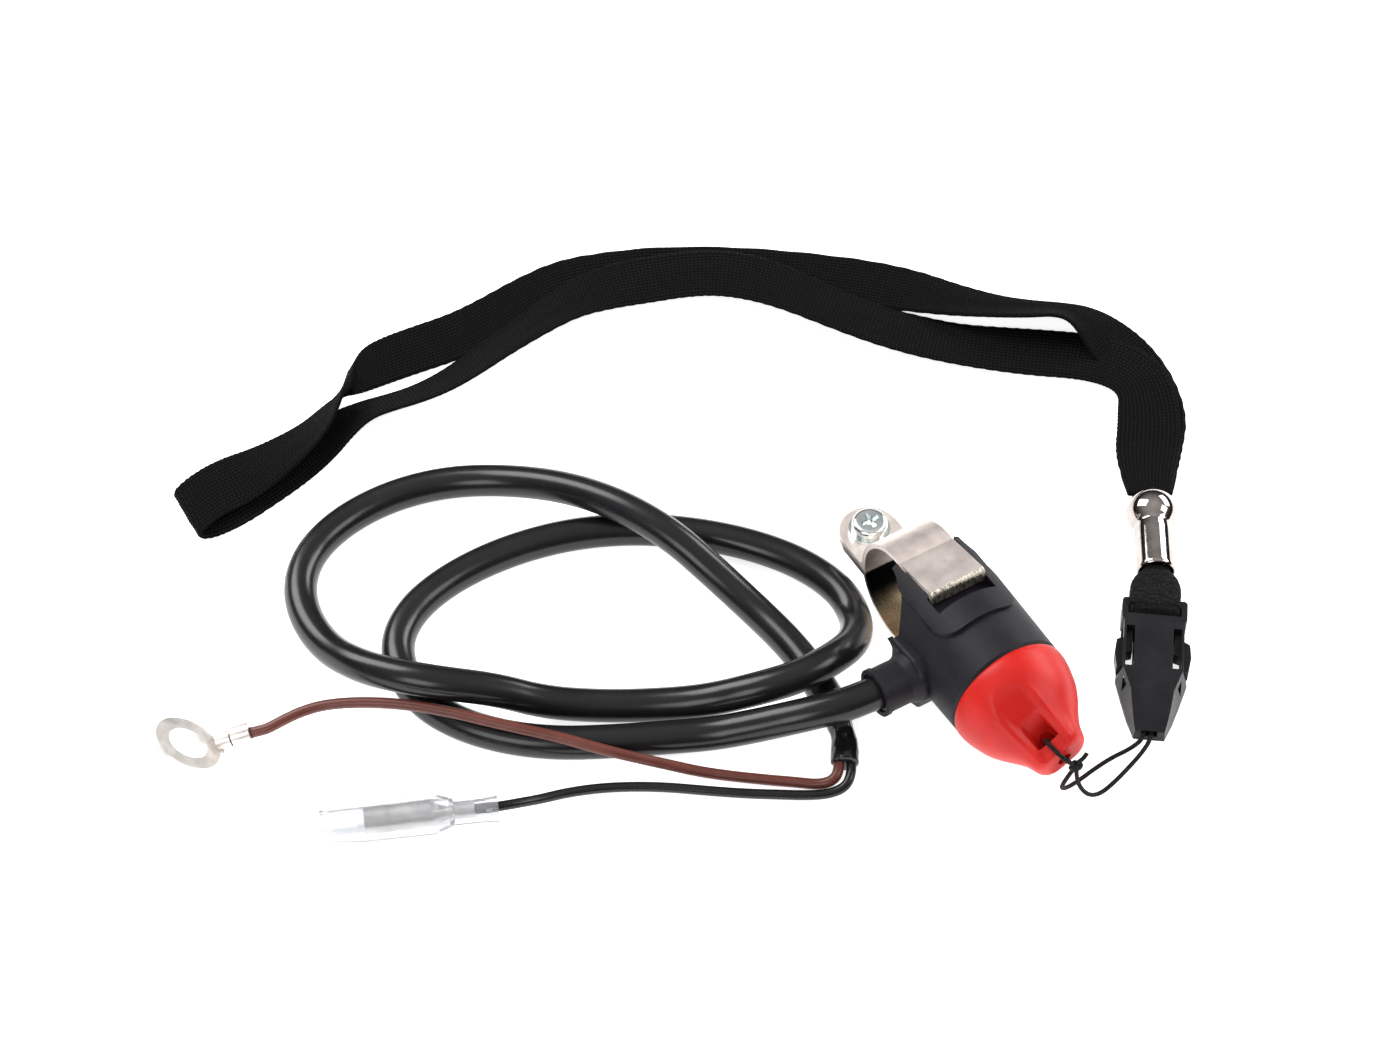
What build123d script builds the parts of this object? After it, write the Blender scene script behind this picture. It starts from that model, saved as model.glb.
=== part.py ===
from build123d import *
import math
import os

# Engine kill switch for a handlebar, with its pull cap, cable and wrist lanyard.
# Millimetres.  +Y is the handlebar's axis, the origin is the centre of the
# handlebar bore, +X points along the switch body to the red pull cap, +Z is up.
os.makedirs("parts", exist_ok=True)

# ---- driving dimensions -------------------------------------------------
FLOOR_Z = -14.0            # the surface that everything lies on
BAR_R = 11.0               # 22 mm handlebar, gripped by the bands
SADDLE_R = 11.25           # moulded saddle, a little wider than the bar
BODY_R_REAR = 13.3         # moulded body, at the handlebar
BODY_R_RIM = 12.6          # moulded body, at the cap
BODY_X0 = 0.5
RIM_X = 30.5               # open front end of the body
BORE_R = 10.2              # inside of the body
BORE_X = 17.0              # rear wall of the inside
SEAT_R, SEAT_X = 4.1, 14.5  # spring seat
PAD_W, PAD_X1, PAD_R = 18.4, 21.0, 13.75   # pad stands proud of the body
POCKET_X0, POCKET_X1, POCKET_W, POCKET_T = 11.1, 15.4, 13.4, 9.9

BAND_W, BAND_T = 12.6, 1.0  # clamp bands
BAND_RISE = math.tan(math.radians(11))
LIP_X = 12.2
EAR_TOP, EAR_GAP = -1.9, 0.5
SCREW_X = -19.0
EAR_R = 6.2

BOSS_X, BOSS_Z, BOSS_R, BOSS_END = 17.0, -1.5, 4.75, -22.0
BOSS_BORE = 4.1

CAP_NOSE = 49.8
SPIGOT_R, SPIGOT_X = 9.95, 28.5

CABLE_D = 6.8
BROWN_D, BLACK_D = 2.2, 2.0
END_SLEEVE_D = 5.8
TETHER_D = 0.9
STRAP_W, STRAP_T = 11.6, 1.2


def box(x0, x1, y0, y1, z0, z1):
    return Pos((x0 + x1) / 2, (y0 + y1) / 2, (z0 + z1) / 2) * Box(x1 - x0, y1 - y0, z1 - z0)


def x_cyl(r, x0, x1, y=0.0, z=0.0):
    return Pos((x0 + x1) / 2, y, z) * Rot(0, 90, 0) * Cylinder(r, x1 - x0)


def y_cyl(r, y0, y1, x=0.0, z=0.0):
    return Pos(x, (y0 + y1) / 2, z) * Rot(90, 0, 0) * Cylinder(r, y1 - y0)


def z_cyl(r, z0, z1, x=0.0, y=0.0):
    return Pos(x, y, (z0 + z1) / 2) * Cylinder(r, z1 - z0)


def xz_prism(points, y0, y1):
    """Closed outline given as (x, z), carried from y0 to y1."""
    face = make_face(Polyline(*[(x, y0, z) for x, z in points], close=True))
    return extrude(face, amount=y1 - y0, dir=(0, 1, 0))


def x_revolve(points):
    """Profile given as (x, r), turned about the X axis."""
    face = make_face(Polyline(*[(x, 0, r) for x, r in points], close=True))
    return revolve(face, axis=Axis.X, revolution_arc=360)


def route_radii(points):
    pts = [Vector(*p) for p in points]
    out = []
    for a, b, c in zip(pts, pts[1:], pts[2:]):
        turn = (b - a).get_angle(c - b)
        out.append(0.45 * min((b - a).length, (c - b).length) / math.tan(math.radians(turn) / 2))
    return out


def tube(name, points, radius):
    """Straight runs joined by tangent arcs, as large as the runs allow."""
    radii = route_radii(points)
    path = FilletPolyline(*[Vector(*p) for p in points], radius=radii)
    section = Plane(path @ 0, z_dir=path % 0) * Circle(radius)
    solid = sweep(section, path=path)
    ideal = math.pi * radius * radius * path.length
    print(f"{name}: length {path.length:.1f}, radii {[round(r, 1) for r in radii]}, "
          f"volume/ideal {solid.volume / ideal:.4f}")
    return solid


def write(name, shape):
    export_step(shape, f"parts/{name}.step")


# ---- housing ------------------------------------------------------------
bar = y_cyl(SADDLE_R, -30, 30)
cone = x_revolve([(BODY_X0, 0), (BODY_X0, BODY_R_REAR), (RIM_X - 0.6, BODY_R_RIM + 0.02),
                  (RIM_X, BODY_R_RIM - 0.45), (RIM_X, 0)])
pad_plan = Pos((BODY_X0 + PAD_X1) / 2, 0, 0) * RectangleRounded(PAD_X1 - BODY_X0, PAD_W, 4.2)
pad = extrude(pad_plan, amount=PAD_R + 1, both=True)
pad += box(BODY_X0, 8, -PAD_W / 2, PAD_W / 2, -PAD_R - 1, PAD_R + 1)
pad = pad & x_cyl(PAD_R, BODY_X0, PAD_X1)
housing = cone + pad

# raised side platform that carries the cable boss
platform_xz = [(5.0, 2.6), (9.0, 3.6), (18.2, 4.7), (20.6, 3.6), (21.7, 1.0), (21.8, -4.2),
               (20.6, -7.6), (18.0, -8.9), (5.0, -8.9)]
platform = xz_prism(platform_xz, -14.3, -6.0)
platform = fillet(platform.faces().sort_by(Axis.Y)[0].edges(), 0.9)
housing += platform
boss = y_cyl(BOSS_R, BOSS_END, -10, BOSS_X, BOSS_Z)
boss += y_cyl(BOSS_R + 0.3, BOSS_END, BOSS_END + 1.0, BOSS_X, BOSS_Z)
boss += Pos(BOSS_X, -14.9, BOSS_Z) * Rot(90, 0, 0) * Cone(5.6, BOSS_R, 2.2)
housing += boss

housing -= bar
band_line = lambda x: 10.97 + (x - 0.9) * BAND_RISE
channel = [(-3, 9.4), (3.0, 9.4), (3.0, band_line(3.0)), (POCKET_X0, band_line(POCKET_X0)),
           (POCKET_X0, POCKET_T), (POCKET_X1, POCKET_T), (POCKET_X1, 20), (-3, 20)]
housing -= xz_prism(channel, -POCKET_W / 2, POCKET_W / 2)
housing -= xz_prism([(x, -z) for x, z in channel], -POCKET_W / 2, POCKET_W / 2)
housing -= x_cyl(BORE_R, BORE_X, RIM_X + 1)
housing -= x_cyl(SEAT_R, SEAT_X, BORE_X + 1)
housing -= y_cyl(BOSS_BORE, BOSS_END - 1, -15.5, BOSS_X, BOSS_Z)
housing -= y_cyl(3.2, -16, -8.4, 18.2, -1.3)
write("housing", housing)

# ---- clamp bands ----------------------------------------------------------
R_IN, R_OUT = BAR_R, BAR_R + BAND_T


def band_outline(ear_z0, ear_z1, upper):
    """Side view of one band in the XZ plane: arc over the bar, flat, hooked lip, ear."""
    ring = Circle(R_OUT) - Circle(R_IN)
    if upper:
        keep = Polygon((-30, ear_z0), (0.9, ear_z0), (0.9, 30), (-30, 30), align=None)
    else:
        keep = Polygon((-30, ear_z1), (0.9, ear_z1), (0.9, -30), (-30, -30), align=None)
    arc = ring & keep
    sign = 1 if upper else -1
    flat = Polygon((0.6, sign * band_line(0.6)), (LIP_X, sign * band_line(LIP_X)),
                   (LIP_X, sign * (band_line(LIP_X) + 1.02)), (0.6, sign * (band_line(0.6) + 1.02)),
                   align=None)
    lip = Polygon((LIP_X - BAND_T, sign * 11.0), (LIP_X, sign * 11.0), (LIP_X, sign * 13.9),
                  (LIP_X - BAND_T, sign * 13.6), align=None)
    ear = Polygon((SCREW_X - 7, ear_z0), (-10.9, ear_z0), (-10.9, ear_z1), (SCREW_X - 7, ear_z1),
                  align=None)
    return arc + flat + lip + ear


def band(ear_z0, ear_z1, upper):
    outline = band_outline(ear_z0, ear_z1, upper)
    solid = extrude(Plane.XZ * outline, amount=BAND_W / 2, both=True)
    sign = 1 if upper else -1
    crest = [e for e in solid.edges().filter_by(Axis.Y)
             if abs(e.center().X - LIP_X) < 0.05 and sign * e.center().Z > 13.5]
    solid = fillet(crest, 0.85)
    bend = [e for e in solid.edges().filter_by(Axis.Y)
            if -12.4 < e.center().X < -11.4 and abs(e.center().Z - (ear_z1 if upper else ear_z0)) < 0.05]
    if bend:
        solid = fillet(bend, 1.2)
    # the ear is round about its screw
    blank = box(-40, SCREW_X, -20, 20, -20, 20) - z_cyl(EAR_R, -25, 25, SCREW_X)
    solid -= blank
    solid -= z_cyl(2.2, -25, 25, SCREW_X)
    return solid


UP_Z1 = EAR_TOP
UP_Z0 = UP_Z1 - BAND_T
LOW_Z1 = UP_Z0 - EAR_GAP
LOW_Z0 = LOW_Z1 - BAND_T
write("upper_clamp_band", band(UP_Z0, UP_Z1, True))
write("lower_clamp_band", band(LOW_Z0, LOW_Z1, False))

# ---- clamp screw, washer and nut -------------------------------------------
WASHER_T = 0.8
HEAD_Z = UP_Z1 + WASHER_T
washer = z_cyl(4.3, UP_Z1, HEAD_Z, SCREW_X) - z_cyl(2.15, UP_Z1 - 1, HEAD_Z + 1, SCREW_X)
write("screw_washer", washer)
head = z_cyl(3.7, HEAD_Z, HEAD_Z + 2.4, SCREW_X)
head = fillet(head.faces().sort_by(Axis.Z)[-1].edges(), 1.1)
recess = (Pos(SCREW_X, 0, HEAD_Z + 1.7) * (Box(3.9, 0.9, 1.6) + Box(0.9, 3.9, 1.6))
          + Pos(SCREW_X, 0, HEAD_Z + 1.75) * Cone(0.5, 1.25, 1.5))
head -= recess
shank = z_cyl(1.95, HEAD_Z - 12.0, HEAD_Z, SCREW_X)
shank = chamfer(shank.faces().sort_by(Axis.Z)[0].edges(), 0.5)
write("clamp_screw", head + shank)
nut = Pos(SCREW_X, 0, LOW_Z0 - 1.6) * extrude(RegularPolygon(4.04, 6), amount=1.6, both=True)
nut -= z_cyl(2.0, -20, 0, SCREW_X)
write("clamp_nut", nut)

# ---- switch works -----------------------------------------------------------
CARRIER_X0, CARRIER_X1 = 26.4, 28.2
carrier = x_cyl(10.1, CARRIER_X0, CARRIER_X1) - x_cyl(2.0, 20, 30)
for y, z in ((0, 6.2), (0, -6.2)):
    carrier -= x_cyl(0.9, 20, 30, y, z)
write("contact_carrier", carrier)


def terminal(y, z_tail):
    z0, z1 = sorted((-2.2 if z_tail > 0 else 2.2, z_tail))
    strip = box(25.9, CARRIER_X0, y - 1.5, y + 1.5, z0, z1)
    return strip + x_cyl(1.1, 25.65, 26.0, y, 0)


write("brown_terminal", terminal(-5.7, 6.5))
write("black_terminal", terminal(5.7, -6.5))

plunger = x_cyl(3.9, 21.0, 22.0) + x_cyl(1.9, 21.5, 28.45) + x_cyl(2.1, 18.2, 21.5)
plunger = fillet(plunger.faces().sort_by(Axis.X)[-1].edges(), 0.5)
write("plunger", plunger)
bridge = box(22.0, 22.6, -7.3, 7.3, -2.3, 2.3) - x_cyl(1.92, 20, 24)
write("contact_bridge", bridge)

SPRING_WIRE, SPRING_R, SPRING_TURNS = 0.5, 3.2, 4
spring_len = 21.0 - SEAT_X - SPRING_WIRE
coil = Helix(pitch=spring_len / SPRING_TURNS, height=spring_len, radius=SPRING_R)
coil_section = Plane(coil @ 0, z_dir=coil % 0) * Circle(SPRING_WIRE / 2)
spring = sweep(coil_section, path=coil, is_frenet=True)
spring = Pos(SEAT_X + SPRING_WIRE / 2, 0, 0) * Rot(0, 90, 0) * spring
write("plunger_spring", spring)

write("brown_inner_lead", tube("brown_inner_lead", [
    (25.9, -5.7, 5.3), (23.0, -5.7, 5.3), (20.0, -7.2, 3.6), (18.5, -9.4, 0.6), (18.0, -12.9, -0.6),
    (18.0, -15.5, -0.6)], 0.65))
write("black_inner_lead", tube("black_inner_lead", [
    (25.9, 5.7, -5.3), (22.6, 5.7, -5.3), (19.8, 2.6, -6.8), (18.6, -2.2, -6.6), (18.2, -6.6, -4.4),
    (18.0, -9.8, -2.6), (18.0, -12.9, -2.3), (18.0, -15.5, -2.3)], 0.65))

# ---- pull cap -----------------------------------------------------------------
dome = x_revolve([(RIM_X, 0), (RIM_X, 12.25), (31.0, 12.6), (32.2, 12.7), (33.8, 12.5), (35.6, 12.05),
                  (37.6, 11.3), (39.6, 10.3), (41.6, 9.05), (43.6, 7.65), (45.5, 6.3), (47.2, 5.05),
                  (48.6, 3.8), (49.4, 2.6), (CAP_NOSE, 1.2), (CAP_NOSE, 0)])
snout = box(39.5, 49.6, -6.0, 6.0, -4.4, 4.4)
snout = fillet(snout.edges().filter_by(Axis.X), 2.6)
snout = fillet(snout.faces().sort_by(Axis.X)[-1].edges(), 1.5)
cap = dome + snout
cap -= xz_prism([(36.5, 10.6), (41.5, 6.2), (44.4, 4.0), (47.0, 3.0), (51, 2.6), (51, 16), (36.5, 16)], -3.6, 3.6)
SLOT_X0, SLOT_X1 = 41.3, 46.8
cap -= xz_prism([(SLOT_X0, 6.4), (44.2, -1.7), (SLOT_X1, -1.7), (SLOT_X1, 12), (SLOT_X0, 12)], -2.6, 2.6)
cap -= box(SLOT_X1 - 0.5, 52, -2.2, 2.2, -1.7, 0.9)
cap += x_cyl(SPIGOT_R, SPIGOT_X, RIM_X + 0.5)
cap -= x_revolve([(SPIGOT_X - 1, 2.4), (SPIGOT_X - 1, 8.5), (33.5, 8.5), (36.5, 7.6), (39.2, 5.4),
                  (39.8, 2.4)])
CAP_ROLL = 30.0                     # the round cap sits turned a little in the mouth
write("pull_cap", Rot(CAP_ROLL, 0, 0) * cap)

# ---- cable, its strain relief and its end ----------------------------------------
write("cable_grommet", y_cyl(BOSS_BORE - 0.03, BOSS_END + 0.4, -15.6, BOSS_X, BOSS_Z)
      - y_cyl(CABLE_D / 2 + 0.05, BOSS_END, -10, BOSS_X, BOSS_Z))

CZ = FLOOR_Z + CABLE_D / 2          # cable centre where it lies on the floor
cable_route = [
    (17.0, -15.5, -1.5), (17.0, -26.0, -1.5), (13.4, -35.4, -3.2), (8.2, -43.6, -7.2),
    (3.6, -50.8, -10.2), (-0.9, -59.6, CZ), (-5.5, -69.2, CZ), (-10.8, -78.8, CZ),
    (-17.2, -86.6, CZ), (-24.6, -92.6, CZ), (-32.6, -96.2, CZ), (-41.4, -96.8, CZ),
    (-49.4, -94.0, CZ), (-54.9, -87.8, CZ), (-57.9, -79.5, CZ), (-59.0, -69.5, CZ),
    (-58.2, -58.6, CZ), (-55.3, -47.4, CZ), (-50.0, -36.6, CZ), (-42.6, -26.8, CZ),
    (-33.9, -18.4, CZ), (-24.2, -12.2, CZ), (-14.4, -9.4, CZ), (-6.0, -10.8, CZ),
    (0.6, -16.0, -7.0), (4.4, -23.4, -3.2), (5.0, -32.0, -2.9), (2.2, -40.2, -4.4),
    (-3.2, -48.2, -8.8), (-8.9, -57.2, CZ), (-14.3, -66.7, CZ), (-19.8, -75.9, -9.4),
    (-24.8, -84.4, -5.0), (-29.8, -92.8, -3.0), (-35.8, -99.6, -2.9), (-43.8, -104.5, -5.2),
    (-54.0, -107.0, -9.2), (-64.6, -107.0, CZ), (-73.4, -104.0, CZ), (-80.0, -97.6, CZ),
    (-83.8, -88.0, CZ), (-84.6, -76.4, CZ), (-81.6, -64.6, -10.2), (-74.4, -54.2, -8.8),
    (-63.4, -45.8, -5.2), (-51.6, -39.6, -3.0), (-40.0, -34.4, -3.9), (-29.6, -30.2, -8.2),
    (-18.9, -27.2, CZ), (-8.1, -25.8, CZ), (1.1, -25.8, CZ), (9.3, -26.9, CZ)]
write("cable", tube("cable", cable_route, CABLE_D / 2))

SZ = FLOOR_Z + END_SLEEVE_D / 2
sleeve_route = [(9.31, -26.9, SZ), (15.85, -27.78, SZ), (22.4, -32.0, SZ)]
write("cable_end_sleeve", tube("cable_end_sleeve", sleeve_route, END_SLEEVE_D / 2))

BZ = FLOOR_Z + BROWN_D / 2
brown_route = [
    (21.73, -33.07, -11.2), (23.75, -34.37, -11.2), (24.3, -36.4, -12.1), (22.9, -38.9, BZ),
    (20.4, -42.0, BZ), (17.1, -46.4, BZ), (13.2, -51.4, BZ), (8.8, -56.8, -12.7), (4.5, -62.4, -11.2),
    (0.2, -69.0, -8.6), (-4.6, -74.6, -7.1), (-8.76, -78.65, -6.3), (-17.07, -87.47, -5.5),
    (-23.21, -93.08, -5.4), (-29.21, -98.82, -5.7), (-33.8, -104.24, -6.1), (-37.88, -109.97, -6.7),
    (-40.62, -114.85, -7.4), (-41.86, -119.16, -8.1), (-42.25, -123.01, -8.8), (-42.55, -126.46, -9.6),
    (-43.59, -128.03, -10.27), (-45.51, -132.8, -11.55)]
write("brown_wire", tube("brown_wire", brown_route, BROWN_D / 2))

KZ = FLOOR_Z + BLACK_D / 2
black_route = [
    (23.09, -30.95, -11.2), (25.32, -32.38, -11.2), (26.8, -34.7, -12.2), (26.0, -38.0, KZ),
    (24.0, -42.0, KZ), (21.0, -46.6, KZ), (17.6, -51.8, KZ), (13.4, -57.6, KZ),
    (8.8, -63.6, KZ), (4.9, -69.6, KZ), (1.6, -75.8, KZ), (-0.8, -82.0, KZ),
    (-1.6, -87.2, -12.3), (-2.0, -92.0, -10.7), (-3.0, -96.6, -9.9), (-4.7, -100.5, -9.9)]
write("black_wire", tube("black_wire", black_route, BLACK_D / 2))

# ---- ring terminal ------------------------------------------------------------------
EYE_TILT, CRIMP_TILT = 35.0, 14.0    # the sheet is bent up both ways from its neck
EYE_AZ, CRIMP_AZ = 86.0, 68.0        # where the neck and the wire barrel point, seen from above
EYE_R, EYE_HOLE, NECK = 7.0, 4.1, 7.7
ring = extrude(Circle(EYE_R), amount=0.8)
ring += box(5.0, NECK, -2.4, 2.4, 0, 0.8)
ring = ring - z_cyl(EYE_HOLE, -1, 3)
ring = Rot(0, 0, EYE_AZ) * Rot(0, EYE_TILT, 0) * Pos(-NECK, 0, 0) * ring
crimp = x_cyl(1.75, 0.3, 3.2, 0, 1.75) + x_cyl(2.0, 3.6, 7.4, 0, 2.0)
crimp += box(0, 6.4, -1.3, 1.3, 0, 0.8)
crimp -= x_cyl(1.12, 3.0, 8.4, 0, 1.7)
crimp = Rot(0, 0, CRIMP_AZ) * Rot(0, -CRIMP_TILT, 0) * crimp
bend = Rot(0, 0, (EYE_AZ + CRIMP_AZ) / 2) * y_cyl(0.6, -2.1, 2.1, 0, 0.5)
write("ring_terminal", Pos(-46.56, -135.39, FLOOR_Z + 0.1) * (ring + crimp + bend))

# ---- bullet receptacle and its clear sleeve -----------------------------------------
CON = Plane(origin=(-2.7, -96.0, FLOOR_Z + 4.1), x_dir=(-0.4, -0.917, 0), z_dir=(0, 0, 1))
recept = x_revolve([(4.6, 0), (4.6, 1.45), (8.6, 1.45), (10.2, 1.2), (13.0, 2.45), (26.0, 2.45), (26.0, 0)])
recept -= x_cyl(2.0, 15.5, 27)
recept -= x_cyl(1.02, 4, 8.6)
write("bullet_receptacle", CON * recept)
sleeve = x_revolve([(0, 1.9), (0, 3.0), (1.2, 3.0), (2.4, 2.75), (8.8, 2.75), (12.6, 4.1), (27.4, 4.1),
                    (34.6, 3.1), (34.6, 2.5), (9.6, 2.5), (8.6, 1.6), (3.0, 1.6)])
sleeve -= Pos(34.6, 0, 4.2) * Rot(0, 28, 0) * Box(14, 9, 3.2)
write("connector_sleeve", CON * sleeve)

# ---- lanyard: buckle, cord, webbing, ferrule, strap ------------------------------------
A = Vector(-0.793, 0.610, 0)          # from the nose of the buckle to the ferrule
BUCKLE = Plane(origin=(47.1, 23.9, FLOOR_Z), x_dir=(0.610, 0.793, 0), z_dir=(0, 0, 1))


def plan(points):
    return make_face(Polyline(*points, close=True))


base_half = [(3.1, 0), (4.6, 4.0), (5.9, 8.6), (7.2, 13.6), (6.9, 18.0), (6.4, 21.0), (6.4, 26.2)]
top_half = [(2.7, 0), (3.5, 4.0), (4.3, 8.6), (5.9, 13.6), (6.1, 18.0), (6.1, 21.0), (6.1, 26.2)]
base = plan(base_half + [(-x, y) for x, y in reversed(base_half)])
top = plan(top_half + [(-x, y) for x, y in reversed(top_half)])
socket = extrude(base, amount=0.8) + loft([Pos(0, 0, 0.8) * base, Pos(0, 0, 5.6) * top])
nose_cut = extrude(Plane.YZ * plan([(-1, 2.4), (3.6, 4.5), (8.6, 5.62), (8.6, 9), (-1, 9)]), amount=12, both=True)
socket -= nose_cut
socket -= box(-5.9, 5.9, 10.0, 27, 1.2, 4.4)          # room for the plug
socket -= box(-9, 9, 14.2, 27, 1.2, 4.4)              # open sides for the press tabs
for s in (-1, 1):
    x0, x1 = sorted((s * 3.9, s * 5.6))
    socket -= box(x0, x1, 14.2, 24.4, -1, 7)          # windows
socket -= box(-1.5, 1.5, -1, 10.5, 1.3, 2.9)          # passage for the cord
write("buckle_socket", BUCKLE * socket)

plug = box(-6.6, 6.6, 26.4, 31.9, 0.3, 5.3)
plug = fillet(plug.edges().filter_by(Axis.Z), 0.8)
plug -= box(-5.4, 5.4, 27.9, 30.0, -1, 8)
plug += box(-5.6, 5.6, 25.6, 26.6, 1.4, 4.2)
for s in (-1, 1):
    arm = [(s * 4.2, 26.5), (s * 5.6, 26.5), (s * 5.8, 22.6), (s * 7.4, 21.6), (s * 7.7, 18.4),
           (s * 7.2, 14.7), (s * 6.2, 14.7), (s * 5.8, 18.2), (s * 4.2, 18.8)]
    plug += Pos(0, 0, 1.4) * extrude(plan(arm), amount=2.8)
write("buckle_plug", BUCKLE * plug)

# folded webbing round the plug's rail
RAIL_S, RAIL_Z = 30.95, 2.8
loop = extrude(Plane.YZ * plan([(28.3, 1.4), (28.3, 4.2), (29.3, 6.1), (31.5, 6.9), (34.6, 7.2), (37.6, 7.2),
                                (37.6, 3.6), (34.6, 1.6), (32.0, 0.0), (29.6, 0.0)]), amount=5.2, both=True)
loop -= box(-6, 6, 30.0, 32.0, 0.2, 5.4)
loop -= box(-6, 6, 26, 27.95, -1, 9)
write("webbing_loop", BUCKLE * loop)

FER_BALL = Vector(3.0, 56.2, FLOOR_Z + 5.4)
FER_END = Vector(16.3, 47.5, FLOOR_Z + 5.4)
fer_dir = (FER_END - FER_BALL).normalized()
FER = Plane(origin=FER_BALL, x_dir=fer_dir, z_dir=(0, 0, 1))
fer_len = (FER_END - FER_BALL).length
tube_profile = x_revolve([(2.0, 0), (2.0, 4.0), (fer_len - 0.4, 4.0), (fer_len, 3.7), (fer_len, 0)])
ferrule = Sphere(5.4) + tube_profile
ferrule -= x_cyl(3.35, 7.0, fer_len + 1)
ferrule -= box(-8, -3.4, -4.4, 4.4, -1.4, 1.4)
write("ferrule", FER * ferrule)

back_route = [(0.2, 58.2), (-7.4, 63.4), (-15.8, 68.8), (-24.4, 74.0), (-34.8, 78.0), (-44.8, 78.2), (-52.6, 73.4),
              (-59.6, 66.6), (-68.4, 58.6), (-80.4, 49.4), (-92.0, 39.6), (-102.2, 26.6), (-110.8, 12.6),
              (-117.4, -2.6), (-121.0, -17.4), (-121.2, -31.2), (-119.6, -43.2), (-119.2, -54.4),
              (-118.4, -64.4), (-113.6, -75.0), (-109.4, -87.2), (-106.4, -99.6), (-103.6, -111.4)]
front_route = [(0.0, 57.4), (-8.6, 61.6), (-17.8, 65.4), (-27.0, 68.4), (-34.8, 68.8), (-41.0, 62.4), (-46.6, 54.4),
               (-53.6, 46.6), (-62.4, 38.6), (-74.2, 29.0), (-86.4, 19.4), (-98.0, 8.8), (-107.6, -4.4),
               (-112.6, -18.0), (-114.0, -31.0), (-110.8, -44.0), (-107.4, -56.4), (-107.0, -68.0),
               (-108.4, -79.6), (-107.4, -91.0), (-104.6, -101.6), (-102.8, -111.2)]


def tape(name, pts, z):
    pts3 = [(x, y, z) for x, y in pts]
    radii = route_radii(pts3)
    path = FilletPolyline(*[Vector(*p) for p in pts3], radius=radii)
    section = Plane(path @ 0, z_dir=path % 0, x_dir=(0, 0, 1)) * Rectangle(STRAP_T, STRAP_W)
    solid = sweep(section, path=path)
    print(f"{name}: length {path.length:.1f}, radii {[round(r, 1) for r in radii]}, "
          f"volume/ideal {solid.volume / (STRAP_T * STRAP_W * path.length):.4f}")
    return solid


front = tape("strap, front strand", front_route, FLOOR_Z + 0.6)
back = tape("strap, back strand", back_route, FLOOR_Z + 1.9)
fold = Pos(-102.9, -114.0, FLOOR_Z + 1.25) * Rot(0, 0, 13) * Box(11.8, 6.0, 2.5)
strap = front + back + fold - (FER * Sphere(5.45))
write("wrist_strap", strap)

# tether cord between the cap and the buckle, tied round the cap's bridge
KNOT = (51.9, 1.5, -1.0)
strand_a = [(44.3, 25.0, -12.0), (47.2, 22.7, -12.1), (47.6, 19.0, -12.9), (47.2, 14.8, -13.3),
            (47.7, 10.2, -13.3), (48.5, 6.0, -13.1), (49.4, 2.6, -11.9), (50.3, 0.2, -9.6),
            (51.2, -0.6, -6.6), (51.7, 0.2, -3.6), (51.9, 1.2, -1.6)]
strand_b = [(45.1, 26.1, -12.0), (48.0, 23.8, -12.1), (49.6, 20.4, -12.8), (51.0, 16.0, -13.3),
            (52.4, 11.6, -13.3), (53.3, 7.8, -13.1), (53.5, 4.8, -11.4), (53.0, 2.8, -8.4),
            (52.3, 1.9, -5.2), (52.0, 1.7, -2.0)]
loop_route = [(51.9, 1.4, -0.6), (52.0, 0.0, 0.9), (51.0, -1.4, 2.6), (48.5, -2.2, 3.6), (46.2, -2.0, 3.0),
              (45.4, -1.0, 1.3), (46.2, 0.1, -0.3), (48.8, 0.3, -0.4), (51.1, 1.0, -0.8)]
tether = tube("tether_cord, strand a", strand_a, TETHER_D / 2)
tether += tube("tether_cord, strand b", strand_b, TETHER_D / 2)
tether += tube("tether_cord, loop", loop_route, TETHER_D / 2)
tether += Pos(*KNOT) * Sphere(1.5)
write("tether_cord", tether)
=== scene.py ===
import math
import bpy, bmesh
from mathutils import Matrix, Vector, noise


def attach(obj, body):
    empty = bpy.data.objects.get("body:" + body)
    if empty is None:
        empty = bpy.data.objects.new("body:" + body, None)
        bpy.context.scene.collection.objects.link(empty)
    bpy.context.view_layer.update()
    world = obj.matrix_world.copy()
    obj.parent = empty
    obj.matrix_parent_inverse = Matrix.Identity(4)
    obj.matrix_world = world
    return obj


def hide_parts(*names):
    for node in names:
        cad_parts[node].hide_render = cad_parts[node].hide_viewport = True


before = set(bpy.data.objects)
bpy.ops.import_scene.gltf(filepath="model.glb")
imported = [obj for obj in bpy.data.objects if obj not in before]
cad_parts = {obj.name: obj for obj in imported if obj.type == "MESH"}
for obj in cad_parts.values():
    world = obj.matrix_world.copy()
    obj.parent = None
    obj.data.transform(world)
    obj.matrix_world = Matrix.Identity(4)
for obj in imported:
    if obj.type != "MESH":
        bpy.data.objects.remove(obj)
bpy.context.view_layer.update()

FLOOR_Z = -0.014

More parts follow.
